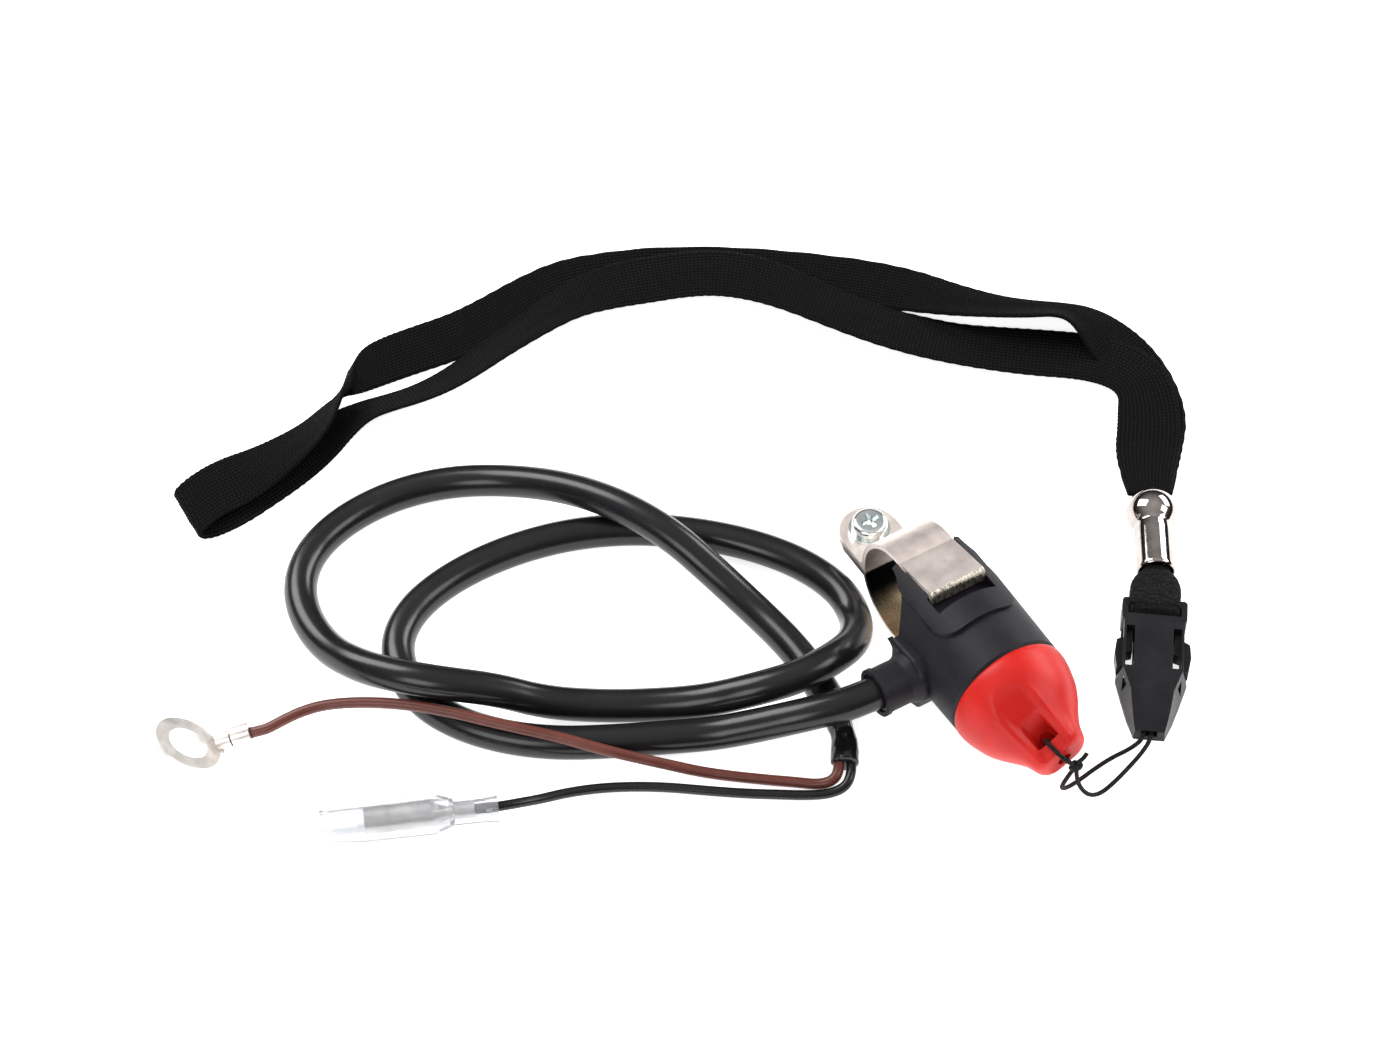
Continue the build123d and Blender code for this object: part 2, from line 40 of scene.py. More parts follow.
# ---- routes, in metres, in the shared frame ---------------------------------
CABLE_ROUTE = [
    (0.017, -0.0155, -0.0015), (0.017, -0.026, -0.0015), (0.0134, -0.0354, -0.0032), (0.0082, -0.0436, -0.0072),
    (0.0036, -0.0508, -0.0102), (-0.0009, -0.0596, -0.0106), (-0.0055, -0.0692, -0.0106),
    (-0.0108, -0.0788, -0.0106), (-0.0172, -0.0866, -0.0106), (-0.0246, -0.0926, -0.0106),
    (-0.0326, -0.0962, -0.0106), (-0.0414, -0.0968, -0.0106), (-0.0494, -0.094, -0.0106),
    (-0.0549, -0.0878, -0.0106), (-0.0579, -0.0795, -0.0106), (-0.059, -0.0695, -0.0106),
    (-0.0582, -0.0586, -0.0106), (-0.0553, -0.0474, -0.0106), (-0.05, -0.0366, -0.0106),
    (-0.0426, -0.0268, -0.0106), (-0.0339, -0.0184, -0.0106), (-0.0242, -0.0122, -0.0106),
    (-0.0144, -0.0094, -0.0106), (-0.006, -0.0108, -0.0106), (0.0006, -0.016, -0.007),
    (0.0044, -0.0234, -0.0032), (0.005, -0.032, -0.0029), (0.0022, -0.0402, -0.0044),
    (-0.0032, -0.0482, -0.0088), (-0.0089, -0.0572, -0.0106), (-0.0143, -0.0667, -0.0106),
    (-0.0198, -0.0759, -0.0094), (-0.0248, -0.0844, -0.005), (-0.0298, -0.0928, -0.003),
    (-0.0358, -0.0996, -0.0029), (-0.0438, -0.1045, -0.0052), (-0.054, -0.107, -0.0092),
    (-0.0646, -0.107, -0.0106), (-0.0734, -0.104, -0.0106), (-0.08, -0.0976, -0.0106),
    (-0.0838, -0.088, -0.0106), (-0.0846, -0.0764, -0.0106), (-0.0816, -0.0646, -0.0102),
    (-0.0744, -0.0542, -0.0088), (-0.0634, -0.0458, -0.0052), (-0.0516, -0.0396, -0.003),
    (-0.04, -0.0344, -0.0039), (-0.0296, -0.0302, -0.0082), (-0.0189, -0.0272, -0.0106),
    (-0.0081, -0.0258, -0.0106), (0.0011, -0.0258, -0.0106), (0.0093, -0.0269, -0.0106),
]
END_SLEEVE_ROUTE = [
    (0.00931, -0.0269, -0.0111), (0.01585, -0.02778, -0.0111), (0.0224, -0.032, -0.0111),
]
BROWN_ROUTE = [
    (0.02173, -0.03307, -0.0112), (0.02375, -0.03437, -0.0112), (0.0243, -0.0364, -0.0121),
    (0.0229, -0.0389, -0.0129), (0.0204, -0.042, -0.0129), (0.0171, -0.0464, -0.0129),
    (0.0132, -0.0514, -0.0129), (0.0088, -0.0568, -0.0127), (0.0045, -0.0624, -0.0112),
    (0.0002, -0.069, -0.0086), (-0.0046, -0.0746, -0.0071), (-0.00876, -0.07865, -0.0063),
    (-0.01707, -0.08747, -0.0055), (-0.02321, -0.09308, -0.0054), (-0.02921, -0.09882, -0.0057),
    (-0.0338, -0.10424, -0.0061), (-0.03788, -0.10997, -0.0067), (-0.04062, -0.11485, -0.0074),
    (-0.04186, -0.11916, -0.0081), (-0.04225, -0.12301, -0.0088), (-0.04255, -0.12646, -0.0096),
    (-0.04359, -0.12803, -0.01027), (-0.04551, -0.1328, -0.01155),
]
BLACK_ROUTE = [
    (0.02309, -0.03095, -0.0112), (0.02532, -0.03238, -0.0112), (0.0268, -0.0347, -0.0122),
    (0.026, -0.038, -0.013), (0.024, -0.042, -0.013), (0.021, -0.0466, -0.013), (0.0176, -0.0518, -0.013),
    (0.0134, -0.0576, -0.013), (0.0088, -0.0636, -0.013), (0.0049, -0.0696, -0.013), (0.0016, -0.0758, -0.013),
    (-0.0008, -0.082, -0.013), (-0.0016, -0.0872, -0.0123), (-0.002, -0.092, -0.0107),
    (-0.003, -0.0966, -0.0099), (-0.0047, -0.1005, -0.0099),
]
TETHER_A = [
    (0.0443, 0.025, -0.012), (0.0472, 0.0227, -0.0121), (0.0476, 0.019, -0.0129), (0.0472, 0.0148, -0.0133),
    (0.0477, 0.0102, -0.0133), (0.0485, 0.006, -0.0131), (0.0494, 0.0026, -0.0119), (0.0503, 0.0002, -0.0096),
    (0.0512, -0.0006, -0.0066), (0.0517, 0.0002, -0.0036), (0.0519, 0.0012, -0.0016),
]
TETHER_LOOP = [
    (0.0519, 0.0014, -0.0006), (0.052, 0.0, 0.0009), (0.051, -0.0014, 0.0026), (0.0485, -0.0022, 0.0036),
    (0.0462, -0.002, 0.003), (0.0454, -0.001, 0.0013), (0.0462, 0.0001, -0.0003), (0.0488, 0.0003, -0.0004),
    (0.0511, 0.001, -0.0008),
]
TETHER_B = [
    (0.0451, 0.0261, -0.012), (0.048, 0.0238, -0.0121), (0.0496, 0.0204, -0.0128), (0.051, 0.016, -0.0133),
    (0.0524, 0.0116, -0.0133), (0.0533, 0.0078, -0.0131), (0.0535, 0.0048, -0.0114), (0.053, 0.0028, -0.0084),
    (0.0523, 0.0019, -0.0052), (0.052, 0.0017, -0.002),
]
TAPE_EDGE_A = [
    (-0.00367, 0.05546, -0.0086), (-0.01006, 0.0586, -0.0104), (-0.0172, 0.06246, -0.0126),
    (-0.02333, 0.06906, -0.0134), (-0.0295, 0.07247, -0.0134), (-0.03823, 0.0739, -0.0134),
    (-0.0446, 0.07329, -0.01063), (-0.04892, 0.07278, -0.00728), (-0.05192, 0.07045, -0.00557),
    (-0.05553, 0.06481, -0.0064), (-0.06001, 0.05925, -0.00742), (-0.06636, 0.05312, -0.00951),
    (-0.07441, 0.04728, -0.01231), (-0.08211, 0.04029, -0.0134), (-0.08964, 0.0319, -0.0134),
    (-0.09665, 0.02313, -0.0134), (-0.10304, 0.01395, -0.0134), (-0.10914, 0.00382, -0.0134),
    (-0.11356, -0.0065, -0.0134), (-0.11633, -0.01572, -0.0134), (-0.11587, -0.02587, -0.0134),
    (-0.11437, -0.03546, -0.0134), (-0.11411, -0.04507, -0.01332), (-0.11519, -0.05392, -0.0134),
    (-0.11583, -0.06142, -0.0134), (-0.11546, -0.06714, -0.0125), (-0.11338, -0.07156, -0.00931),
    (-0.11726, -0.07212, -0.0133), (-0.11699, -0.07467, -0.0132), (-0.11543, -0.07881, -0.0129),
    (-0.11369, -0.08372, -0.0126), (-0.11273, -0.0906, -0.0122), (-0.11219, -0.09624, -0.0116),
    (-0.11226, -0.10178, -0.011), (-0.11185, -0.10644, -0.0107), (-0.1108, -0.11069, -0.0104),
    (-0.1097, -0.11382, -0.0104), (-0.10939, -0.1153, -0.0116), (-0.10973, -0.11448, -0.0132),
    (-0.10906, -0.11187, -0.0134), (-0.10925, -0.10567, -0.0134), (-0.11116, -0.09761, -0.0134),
    (-0.11239, -0.09018, -0.0134), (-0.11312, -0.08362, -0.0134), (-0.11422, -0.07705, -0.0134),
    (-0.11385, -0.07023, -0.0134), (-0.1127, -0.06378, -0.0134), (-0.11202, -0.05753, -0.0134),
    (-0.11253, -0.05037, -0.0134), (-0.11437, -0.04245, -0.0134), (-0.11662, -0.03371, -0.0132),
    (-0.11886, -0.02437, -0.0126), (-0.12134, -0.01431, -0.0122), (-0.12112, -0.00466, -0.012),
    (-0.11877, 0.00436, -0.012), (-0.1158, 0.01301, -0.012), (-0.11158, 0.02094, -0.012),
    (-0.10536, 0.02766, -0.012), (-0.09699, 0.03247, -0.012), (-0.0875, 0.03701, -0.0121),
    (-0.07919, 0.04223, -0.0126), (-0.07254, 0.04849, -0.0132), (-0.06611, 0.05483, -0.0134),
    (-0.06081, 0.06188, -0.0134), (-0.0557, 0.06904, -0.0134), (-0.05014, 0.07578, -0.013),
    (-0.04397, 0.08076, -0.0123), (-0.03776, 0.08409, -0.0121), (-0.03127, 0.08492, -0.0121),
    (-0.02382, 0.0826, -0.0121), (-0.01649, 0.07834, -0.0121), (-0.01018, 0.07319, -0.0114),
    (-0.00407, 0.06689, -0.0094), (0.001, 0.06206, -0.0079),
]
TAPE_EDGE_B = [
    (0.00076, 0.06283, -0.0086), (-0.00439, 0.06803, -0.0104), (-0.0103, 0.07395, -0.0126),
    (-0.01808, 0.08139, -0.0134), (-0.02893, 0.08585, -0.0134), (-0.03995, 0.08719, -0.0134),
    (-0.04902, 0.08563, -0.0134), (-0.05534, 0.08282, -0.0134), (-0.05955, 0.0782, -0.0134),
    (-0.0642, 0.07226, -0.0134), (-0.06913, 0.06703, -0.0134), (-0.07606, 0.06151, -0.0134),
    (-0.08429, 0.05626, -0.0134), (-0.09194, 0.0494, -0.0134), (-0.09983, 0.0406, -0.0134),
    (-0.10745, 0.03106, -0.0134), (-0.1144, 0.02107, -0.0134), (-0.12089, 0.01026, -0.0134),
    (-0.12577, -0.00097, -0.0134), (-0.12904, -0.01148, -0.0134), (-0.12881, -0.0224, -0.0134),
    (-0.12741, -0.03236, -0.0134), (-0.12687, -0.04096, -0.0134), (-0.12774, -0.04922, -0.0134),
    (-0.12826, -0.05641, -0.0134), (-0.12766, -0.06167, -0.0134), (-0.12471, -0.06563, -0.0133),
    (-0.11074, -0.07292, -0.00162), (-0.10864, -0.07557, -0.0032), (-0.1052, -0.07908, -0.00425),
    (-0.1024, -0.08345, -0.00539), (-0.1003, -0.08986, -0.00725), (-0.09909, -0.09602, -0.00881),
    (-0.09887, -0.1022, -0.011), (-0.09855, -0.10808, -0.0107), (-0.09746, -0.11197, -0.0104),
    (-0.09633, -0.11475, -0.0104), (-0.096, -0.11573, -0.0116), (-0.09633, -0.11457, -0.0132),
    (-0.09566, -0.11162, -0.0134), (-0.09586, -0.10508, -0.0134), (-0.09793, -0.0955, -0.0134),
    (-0.09925, -0.08784, -0.01224), (-0.10027, -0.08167, -0.01012), (-0.10202, -0.07629, -0.00791),
    (-0.10265, -0.07152, -0.00616), (-0.102, -0.06657, -0.00583), (-0.10115, -0.0603, -0.00606),
    (-0.10132, -0.05298, -0.00655), (-0.1028, -0.04489, -0.00709), (-0.10486, -0.03639, -0.00736),
    (-0.10662, -0.02698, -0.0078), (-0.1086, -0.01737, -0.0094), (-0.10843, -0.00889, -0.01127),
    (-0.10643, -0.00087, -0.012), (-0.10387, 0.00691, -0.012), (-0.10061, 0.01325, -0.012),
    (-0.09528, 0.01883, -0.01185), (-0.08769, 0.02295, -0.01047), (-0.07841, 0.02747, -0.00966),
    (-0.06989, 0.03294, -0.01), (-0.06275, 0.03955, -0.01124), (-0.05608, 0.04612, -0.01161),
    (-0.05031, 0.05359, -0.01266), (-0.0452, 0.06071, -0.0134), (-0.03992, 0.06712, -0.013),
    (-0.0354, 0.07046, -0.0123), (-0.03202, 0.07198, -0.0121), (-0.02958, 0.07163, -0.0121),
    (-0.02701, 0.06959, -0.0121), (-0.02285, 0.06655, -0.0121), (-0.01709, 0.0617, -0.0114),
    (-0.00973, 0.05746, -0.0094), (-0.00343, 0.05469, -0.0079),
]

# ---- small helpers ------------------------------------------------------------
def smooth(a, b, x):
    t = max(0.0, min(1.0, (x - a) / (b - a)))
    return t * t * (3 - 2 * t)


def lerp(a, b, t):
    return a + (b - a) * t


def table_value(points, x):
    """Smooth interpolation through (x, y) pairs."""
    if x <= points[0][0]:
        return points[0][1]
    if x >= points[-1][0]:
        return points[-1][1]
    for i in range(len(points) - 1):
        if x <= points[i + 1][0]:
            break
    x0, y0 = points[i]
    x1, y1 = points[i + 1]
    h = x1 - x0
    m0 = (y1 - y0) / h if i == 0 else (y1 - points[i - 1][1]) / (x1 - points[i - 1][0])
    m1 = (y1 - y0) / h if i + 2 >= len(points) else (points[i + 2][1] - y0) / (points[i + 2][0] - x0)
    t = (x - x0) / h
    t2, t3 = t * t, t * t * t
    return (2 * t3 - 3 * t2 + 1) * y0 + (t3 - 2 * t2 + t) * h * m0 + (3 * t2 - 2 * t3) * y1 + (t3 - t2) * h * m1


def spline_path(points, steps=10):
    """The smooth line of a NURBS spline that has these control points."""
    curve = bpy.data.curves.new("route", "CURVE")
    curve.dimensions = "3D"
    curve.resolution_u = steps
    spline = curve.splines.new("NURBS")
    spline.points.add(len(points) - 1)
    for p, q in zip(spline.points, points):
        p.co = (q[0], q[1], q[2], 1.0)
    spline.order_u = 3
    spline.use_endpoint_u = True
    spline.resolution_u = steps
    holder = bpy.data.objects.new("route", curve)
    mesh = bpy.data.meshes.new_from_object(holder)
    path = [v.co.copy() for v in mesh.vertices]
    bpy.data.meshes.remove(mesh)
    bpy.data.objects.remove(holder)
    bpy.data.curves.remove(curve)
    return path


def path_length(path):
    return sum((b - a).length for a, b in zip(path, path[1:]))


def frames_along(path, first=None):
    """Tangent, normal and side at each point, turning as little as it can."""
    tangents = []
    for i in range(len(path)):
        a, b = path[max(0, i - 1)], path[min(len(path) - 1, i + 1)]
        tangents.append((b - a).normalized())
    up = first or Vector((0, 0, 1))
    n = (up - tangents[0] * up.dot(tangents[0])).normalized()
    out = []
    for t in tangents:
        n = (n - t * n.dot(t)).normalized()
        out.append((t, n, t.cross(n)))
    return out


def new_object(name, verts, faces, material, smooth_faces=True, sharp=None):
    mesh = bpy.data.meshes.new(name)
    mesh.from_pydata([tuple(v) for v in verts], [], faces)
    mesh.update()
    obj = bpy.data.objects.new(name, mesh)
    bpy.context.scene.collection.objects.link(obj)
    for m in material if isinstance(material, (list, tuple)) else [material]:
        mesh.materials.append(m)
    if smooth_faces:
        for p in mesh.polygons:
            p.use_smooth = True
        if sharp:
            mesh.set_sharp_from_angle(angle=math.radians(sharp))
    return obj


def face_out(bm):
    bmesh.ops.recalc_face_normals(bm, faces=bm.faces)
    if bm.calc_volume(signed=True) < 0:
        bmesh.ops.reverse_faces(bm, faces=bm.faces)


def add_lay(obj, values):
    """Stores where each point lies along and around a cord, for its material."""
    layer = obj.data.attributes.new("lay", "FLOAT_VECTOR", "POINT")
    flat = [c for v in values for c in v]
    layer.data.foreach_set("vector", flat)


def tube(name, path, radius, material, seg=20, shape=None, ends=0.35, sharp=None):
    """A round tube along a path. shape(s, angle) gives the radius, in metres."""
    fr = frames_along(path)
    verts, lay, faces = [], [], []
    s = 0.0
    total = path_length(path)
    rings = []
    for i, (p, (t, n, b)) in enumerate(zip(path, fr)):
        if i:
            s += (p - path[i - 1]).length
        ring = []
        for k in range(seg):
            a = 2 * math.pi * k / seg
            r = shape(s, a) if shape else radius
            ring.append(len(verts))
            verts.append(p + n * (r * math.cos(a)) + b * (r * math.sin(a)))
            lay.append((s, math.cos(a), math.sin(a)))
        rings.append(ring)
    for r0, r1 in zip(rings, rings[1:]):
        for k in range(seg):
            k1 = (k + 1) % seg
            faces.append((r0[k], r0[k1], r1[k1], r1[k]))
    for ring, p, t, sign in ((rings[0], path[0], fr[0][0], -1), (rings[-1], path[-1], fr[-1][0], 1)):
        inner = []
        for k in ring:
            inner.append(len(verts))
            verts.append(p + (verts[k] - p) * 0.82 + t * (sign * radius * ends * 0.35))
            lay.append(lay[k])
        for k in range(seg):
            k1 = (k + 1) % seg
            quad = (ring[k], ring[k1], inner[k1], inner[k])
            faces.append(quad if sign > 0 else quad[::-1])
        faces.append(tuple(inner) if sign > 0 else tuple(reversed(inner)))
    obj = new_object(name, verts, faces, material, True, sharp)
    add_lay(obj, lay)
    return obj


# ---- materials ------------------------------------------------------------------
class Mat:
    def __init__(self, name):
        self.m = bpy.data.materials.new(name)
        self.m.use_nodes = True
        self.nt = self.m.node_tree
        self.nt.nodes.clear()
        self.out = self.nt.nodes.new("ShaderNodeOutputMaterial")
        self.b = self.nt.nodes.new("ShaderNodeBsdfPrincipled")
        self.nt.links.new(self.b.outputs[0], self.out.inputs[0])
        self.co = self.nt.nodes.new("ShaderNodeTexCoord").outputs["Object"]

    def set(self, **values):
        for k, v in values.items():
            self.b.inputs[k.replace("_", " ")].default_value = v
        return self

    def link(self, socket, name):
        self.nt.links.new(socket, self.b.inputs[name])

    def node(self, kind, **props):
        n = self.nt.nodes.new(kind)
        for k, v in props.items():
            setattr(n, k, v)
        return n

    def scaled(self, vec, xyz):
        n = self.node("ShaderNodeMapping")
        self.nt.links.new(vec, n.inputs["Vector"])
        n.inputs["Scale"].default_value = xyz
        return n.outputs[0]

    def noise(self, scale, detail=3.0, rough=0.55, vec=None, distortion=0.0):
        n = self.node("ShaderNodeTexNoise")
        self.nt.links.new(vec or self.co, n.inputs["Vector"])
        n.inputs["Scale"].default_value = scale
        n.inputs["Detail"].default_value = detail
        n.inputs["Roughness"].default_value = rough
        n.inputs["Distortion"].default_value = distortion
        return n.outputs["Fac"]

    def voronoi(self, scale, vec=None, feature="F1"):
        n = self.node("ShaderNodeTexVoronoi", feature=feature)
        self.nt.links.new(vec or self.co, n.inputs["Vector"])
        n.inputs["Scale"].default_value = scale
        return n.outputs["Distance"]

    def ramp(self, fac, stops):
        n = self.node("ShaderNodeValToRGB")
        self.nt.links.new(fac, n.inputs[0])
        el = n.color_ramp.elements
        while len(el) < len(stops):
            el.new(0.5)
        for e, (pos, c) in zip(el, stops):
            e.position = pos
            e.color = (*c, 1) if len(c) == 3 else c
        return n.outputs[0]

    def span(self, fac, a, b, lo=0.0, hi=1.0):
        n = self.node("ShaderNodeMapRange")
        self.nt.links.new(fac, n.inputs["Value"])
        n.inputs["From Min"].default_value = lo
        n.inputs["From Max"].default_value = hi
        n.inputs["To Min"].default_value = a
        n.inputs["To Max"].default_value = b
        return n.outputs[0]

    def math(self, op, a, b=None, c=None):
        n = self.node("ShaderNodeMath", operation=op)
        for i, v in enumerate((a, b, c)):
            if v is None:
                continue
            if isinstance(v, (int, float)):
                n.inputs[i].default_value = v
            else:
                self.nt.links.new(v, n.inputs[i])
        return n.outputs[0]

    def mix(self, fac, a, b):
        n = self.node("ShaderNodeMix", data_type="RGBA")
        for key, v in ((0, fac), (6, a), (7, b)):
            if isinstance(v, (tuple, list)):
                n.inputs[key].default_value = (*v, 1) if len(v) == 3 else v
            elif isinstance(v, (int, float)):
                n.inputs[key].default_value = v
            else:
                self.nt.links.new(v, n.inputs[key])
        return n.outputs[2]

    def bump(self, height, strength, distance, normal=None):
        n = self.node("ShaderNodeBump")
        self.nt.links.new(height, n.inputs["Height"])
        n.inputs["Strength"].default_value = strength
        n.inputs["Distance"].default_value = distance
        if normal is not None:
            self.nt.links.new(normal, n.inputs["Normal"])
        return n.outputs[0]

    def lay(self):
        a = self.node("ShaderNodeAttribute", attribute_name="lay")
        s = self.node("ShaderNodeSeparateXYZ")
        self.nt.links.new(a.outputs["Vector"], s.inputs[0])
        return s.outputs[0], s.outputs[1], s.outputs[2]


def plastic(name, dark, light, rough, grain=2600, grain_strength=0.3, spec=0.5, patch=140, distance=0.00005):
    k = Mat(name)
    cloud = k.noise(patch, 4, 0.6)
    k.link(k.ramp(cloud, [(0.35, dark), (0.68, light)]), "Base Color")
    fine = k.noise(grain, 4, 0.6)
    k.link(k.span(k.math("ADD", k.math("MULTIPLY", cloud, 0.5), k.math("MULTIPLY", fine, 0.5)), rough[0], rough[1], 0.3, 0.7),
           "Roughness")
    n1 = k.bump(fine, grain_strength, distance)
    n2 = k.bump(k.noise(260, 2, 0.5), 0.35 * grain_strength, 0.00012, n1)
    k.link(n2, "Normal")
    k.set(Specular_IOR_Level=spec)
    return k


def metal(name, dark, light, rough, fine=1800, strength=0.15, streak=None, distance=0.00003):
    k = Mat(name)
    k.set(Metallic=1.0)
    cloud = k.noise(220, 4, 0.6)
    k.link(k.ramp(cloud, [(0.3, dark), (0.7, light)]), "Base Color")
    vec = k.scaled(k.co, streak) if streak else None
    g = k.noise(fine, 5, 0.65, vec)
    k.link(k.span(k.math("ADD", k.math("MULTIPLY", cloud, 0.4), k.math("MULTIPLY", g, 0.6)), rough[0], rough[1], 0.3, 0.7),
           "Roughness")
    k.link(k.bump(g, strength, distance), "Normal")
    return k


M = {}
M["housing"] = plastic("moulded_black", (0.0080, 0.0072, 0.0105), (0.0125, 0.0115, 0.0155), (0.44, 0.60), 2400, 0.5, 0.22)
M["cap"] = plastic("moulded_red", (0.50, 0.010, 0.007), (0.59, 0.016, 0.011), (0.34, 0.46), 1900, 0.16, 0.24)
M["band"] = metal("nickel_band", (0.78, 0.68, 0.63), (0.95, 0.86, 0.80), (0.36, 0.52), 2600, 0.30)
k = M["band"]
xyz = k.node("ShaderNodeSeparateXYZ")
k.nt.links.new(k.co, xyz.inputs[0])
lip = k.math("MULTIPLY", k.math("GREATER_THAN", xyz.outputs[0], 0.01125), k.math("GREATER_THAN", xyz.outputs[2], 0.0))
torn = k.noise(1500, 5, 0.75, k.scaled(k.co, (1.0, 1.6, 0.5)))
base = k.b.inputs["Base Color"].links[0].from_socket
k.link(k.mix(lip, base, k.ramp(torn, [(0.38, (0.10, 0.09, 0.07)), (0.50, (0.62, 0.57, 0.47)), (0.72, (0.95, 0.90, 0.80))])),
       "Base Color")
flat_normal = k.b.inputs["Normal"].links[0].from_socket
k.link(k.bump(k.math("MULTIPLY", torn, lip), 0.9, 0.0003, flat_normal), "Normal")
# Inside of the lower band: painted shade. Its inner face is painted near black and fades down to a gold-brown strip at
# its bottom edge.
k = metal("nickel_band_inside_painted_shade", (0.60, 0.52, 0.47), (0.80, 0.71, 0.65), (0.22, 0.36), 2600, 0.30)
xyz = k.node("ShaderNodeSeparateXYZ")
k.nt.links.new(k.co, xyz.inputs[0])
reach = k.math("SQRT", k.math("ADD", k.math("MULTIPLY", xyz.outputs[0], xyz.outputs[0]),
                              k.math("MULTIPLY", xyz.outputs[2], xyz.outputs[2])))
inner = k.math("LESS_THAN", reach, 0.01125)
# painted shade: the inner face is painted darker towards the top, from gold-brown at the bottom to near black
tone = k.ramp(k.span(xyz.outputs[2], 0.0, 1.0, -0.0115, -0.003), [(0.0, (0.30, 0.22, 0.13)), (0.32, (0.16, 0.12, 0.075)),
                                                                  (0.55, (0.018, 0.016, 0.014)), (1.0, (0.008, 0.008, 0.008))])
base = k.b.inputs["Base Color"].links[0].from_socket
k.link(k.mix(inner, base, tone), "Base Color")
M["band_low_painted_shade"] = k
M["zinc"] = metal("zinc_screw", (0.60, 0.64, 0.64), (0.84, 0.88, 0.87), (0.14, 0.30), 1400, 0.2)
M["cable"] = plastic("cable_black", (0.0065, 0.0065, 0.0075), (0.0105, 0.0105, 0.012), (0.20, 0.29), 1300, 0.05, 0.38, 60)
M["wrap"] = plastic("shrunk_black", (0.006, 0.006, 0.007), (0.012, 0.012, 0.013), (0.10, 0.22), 500, 0.18, 0.45, 90, 0.0001)
M["brown"] = plastic("wire_brown", (0.100, 0.026, 0.018), (0.145, 0.040, 0.028), (0.26, 0.40), 1200, 0.12, 0.35, 90)
M["black_wire"] = plastic("wire_black", (0.006, 0.006, 0.007), (0.010, 0.010, 0.011), (0.22, 0.34), 1200, 0.10, 0.35, 90)
M["tin"] = metal("tinned_sheet", (0.56, 0.52, 0.49), (0.84, 0.79, 0.75), (0.32, 0.50), 1500, 0.6, None, 0.00006)
M["brass"] = metal("contact_brass", (0.62, 0.42, 0.15), (0.80, 0.58, 0.24), (0.22, 0.38), 1500, 0.2)
M["inner"] = plastic("ivory_plastic", (0.58, 0.56, 0.50), (0.70, 0.68, 0.62), (0.38, 0.5), 1800, 0.2)
M["spring"] = metal("spring_wire", (0.45, 0.45, 0.46), (0.66, 0.66, 0.67), (0.2, 0.34), 1500, 0.2)
M["buckle"] = plastic("buckle_black", (0.0055, 0.0052, 0.0065), (0.0105, 0.010, 0.012), (0.30, 0.44), 1900, 0.5, 0.22)
M["nickel"] = metal("polished_nickel", (0.34, 0.30, 0.28), (0.52, 0.47, 0.44), (0.05, 0.12), 900, 0.10, (1.0, 1.0, 0.12))

# clear soft plastic of the connector sleeve
k = Mat("clear_soft")
k.set(Transmission_Weight=0.86, IOR=1.44, Specular_IOR_Level=0.5)
haze = k.noise(420, 4, 0.6)
k.link(k.ramp(haze, [(0.3, (0.80, 0.81, 0.84)), (0.7, (0.93, 0.94, 0.96))]), "Base Color")
k.link(k.span(haze, 0.06, 0.20, 0.3, 0.7), "Roughness")
k.link(k.bump(k.noise(300, 3, 0.6), 0.35, 0.0003), "Normal")
M["clear"] = k

# fuzzy folded webbing
k = Mat("felted_webbing")
fuzz = k.noise(2300, 5, 0.75)
spots = k.voronoi(1500)
k.link(k.ramp(fuzz, [(0.42, (0.0035, 0.0035, 0.0035)), (0.60, (0.010, 0.010, 0.010)), (0.74, (0.06, 0.06, 0.055))]), "Base Color")
k.set(Roughness=0.95, Sheen_Weight=0.05, Sheen_Roughness=0.6, Specular_IOR_Level=0.08)
k.link(k.bump(spots, 0.8, 0.0003, k.bump(fuzz, 0.9, 0.0003)), "Normal")
M["webbing"] = k

# thin braided cord: two sets of strands that cross
k = Mat("braided_cord")
along, ca, sa = k.lay()
ang = k.math("ARCTAN2", sa, ca)
turn = k.math("MULTIPLY", along, 2 * math.pi / 0.0022)
w1 = k.math("SINE", k.math("ADD", turn, k.math("MULTIPLY", ang, 4.0)))
w2 = k.math("SINE", k.math("SUBTRACT", turn, k.math("MULTIPLY", ang, 4.0)))
weave = k.math("MAXIMUM", w1, w2)
k.link(k.ramp(k.span(weave, 0, 1, -1, 1), [(0.3, (0.003, 0.003, 0.003)), (0.9, (0.014, 0.014, 0.014))]), "Base Color")
k.set(Roughness=0.75, Sheen_Weight=0.0, Specular_IOR_Level=0.15)
k.link(k.bump(weave, 0.7, 0.0001), "Normal")
M["cord"] = k

# knitted tape: ribs run along it, with small loops across each rib
k = Mat("knitted_tape")
along, across, face = k.lay()
RIBS = 15.0
rib = k.math("SINE", k.math("MULTIPLY", across, 2 * math.pi * RIBS))
row = k.math("SINE", k.math("ADD", k.math("MULTIPLY", along, 2 * math.pi / 0.00085),
                            k.math("MULTIPLY", k.math("SINE", k.math("MULTIPLY", across, math.pi * RIBS)), 1.2)))
knit = k.math("ADD", k.math("MULTIPLY", rib, 0.6), k.math("MULTIPLY", row, 0.4))
fibre = k.noise(2600, 4, 0.7)
tone = k.math("ADD", k.math("MULTIPLY", k.span(knit, 0, 1, -1, 1), 0.55), k.math("MULTIPLY", fibre, 0.45))
k.link(k.ramp(tone, [(0.30, (0.0012, 0.0012, 0.0013)), (0.62, (0.0040, 0.0040, 0.0043)), (0.86, (0.016, 0.016, 0.017))]),
       "Base Color")
k.set(Roughness=0.85, Sheen_Weight=0.0, Specular_IOR_Level=0.07)
k.link(k.bump(knit, 0.6, 0.00016, k.bump(fibre, 0.5, 0.0001)), "Normal")
M["tape"] = k

